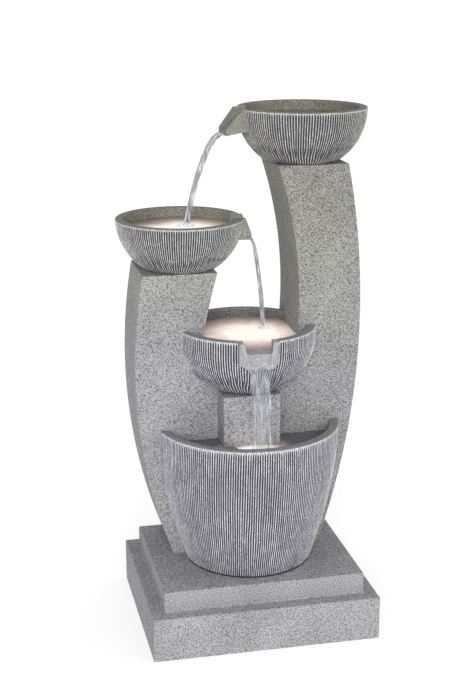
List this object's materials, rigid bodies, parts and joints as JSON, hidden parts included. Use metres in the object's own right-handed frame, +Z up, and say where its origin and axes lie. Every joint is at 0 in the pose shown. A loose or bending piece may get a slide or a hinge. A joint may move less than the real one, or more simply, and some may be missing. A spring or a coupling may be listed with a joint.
{
  "type": "cascading bowl water fountain",
  "caption": "Free-standing cascading water fountain: ribbed bowls on curved stone pillars above a tall basin and stepped plinth, with a pump, riser hose and under-water lamps inside.",
  "frame": {"origin": "middle of the plinth's flat underside, on the ground", "axes": "+Z up, +X to the right seen from the front, front faces -Y"},
  "size_m": [0.4862, 0.3933, 0.993],
  "materials": {
    "cast_stone": "cast stone with a fine dark speckle, matt",
    "ribbed_stone": "combed vertical ridges, pale crests and dark grooves, matt",
    "spout_stone": "smooth cast stone, matt",
    "back_panel": "grey moulded panel, fine texture",
    "black_plastic": "black moulded plastic",
    "grey_plastic": "grey moulded plastic",
    "lamp_body": "black sealed lamp body",
    "lamp_lens": "clear domed lens",
    "lamp_board": "white lamp board with chips",
    "stainless": "stainless steel",
    "ceramic_shaft": "ground ceramic",
    "soft_rubber": "soft black rubber",
    "cable_jacket": "black cable jacket",
    "clear_hose": "clear flexible hose",
    "water": "clear moving water"
  },
  "bodies": {
    "fountain": {"plinth": "cast_stone", "left_pillar": "cast_stone", "right_pillar": "cast_stone", "centre_column": "cast_stone", "top_bowl": "ribbed_stone", "left_bowl": "ribbed_stone", "middle_bowl": "ribbed_stone", "basin": "ribbed_stone", "top_spout": "spout_stone", "left_spout": "spout_stone", "middle_spout": "spout_stone", "left_pillar_cover": "back_panel", "right_pillar_cover": "back_panel", "base_plate": "back_panel", "reservoir_tub": "black_plastic", "pump_body": "black_plastic", "volute_plate": "black_plastic", "pump_outlet": "black_plastic", "junction_box": "black_plastic", "junction_lid": "black_plastic", "drain_collar": "black_plastic", "drain_nut": "black_plastic", "riser_nut": "black_plastic", "lamp_nuts": "black_plastic", "riser_fitting": "grey_plastic", "left_lamp_housing": "lamp_body", "middle_lamp_housing": "lamp_body", "basin_lamp_housing": "lamp_body", "left_lamp_lens": "lamp_lens", "middle_lamp_lens": "lamp_lens", "basin_lamp_lens": "lamp_lens", "left_lamp_board": "lamp_board", "middle_lamp_board": "lamp_board", "basin_lamp_board": "lamp_board", "bowl_bolts": "stainless", "bowl_nuts": "stainless", "cover_screws": "stainless", "bracket_screws": "stainless", "basin_lamp_bracket": "stainless", "hose_clamps": "stainless", "pump_shaft": "ceramic_shaft", "cable_grommet": "soft_rubber", "lamp_gaskets": "soft_rubber", "riser_washer": "soft_rubber", "pump_suction_feet": "soft_rubber", "left_lamp_cable": "cable_jacket", "middle_lamp_cable": "cable_jacket", "basin_lamp_cable": "cable_jacket", "pump_cable": "cable_jacket", "riser_hose": "clear_hose"},
    "impeller": {"impeller": "grey_plastic"},
    "intake_cover": {"pump_intake_cover": "black_plastic"},
    "flow_dial": {"flow_dial": "grey_plastic"},
    "standpipe": {"standpipe": "grey_plastic"},
    "strainer_cap": {"strainer_cap": "grey_plastic"},
    "access_door": {"access_door": "back_panel"}
  },
  "joints": [
    {"name": "impeller_spin", "type": "hinge", "parent": "fountain", "child": "impeller", "pos_m": [0.09, 0.06, 0.03408], "axis": [0, 1, 0], "continuous": true},
    {"name": "intake_pull", "type": "slide", "parent": "fountain", "child": "intake_cover", "axis": [0, 1, 0], "range_m": [0, 0.022]},
    {"name": "dial_turn", "type": "hinge", "parent": "intake_cover", "child": "flow_dial", "pos_m": [0.09, 0.105, 0.03408], "axis": [0, 1, 0], "range_deg": [0, 90]},
    {"name": "standpipe_lift", "type": "slide", "parent": "fountain", "child": "standpipe", "axis": [0, 0, 1], "range_m": [0, 0.08]},
    {"name": "strainer_lift", "type": "slide", "parent": "standpipe", "child": "strainer_cap", "axis": [0, 0, 1], "range_m": [0, 0.03]},
    {"name": "door_pull", "type": "slide", "parent": "fountain", "child": "access_door", "axis": [0, 1, 0], "range_m": [0, 0.06]}
  ]
}
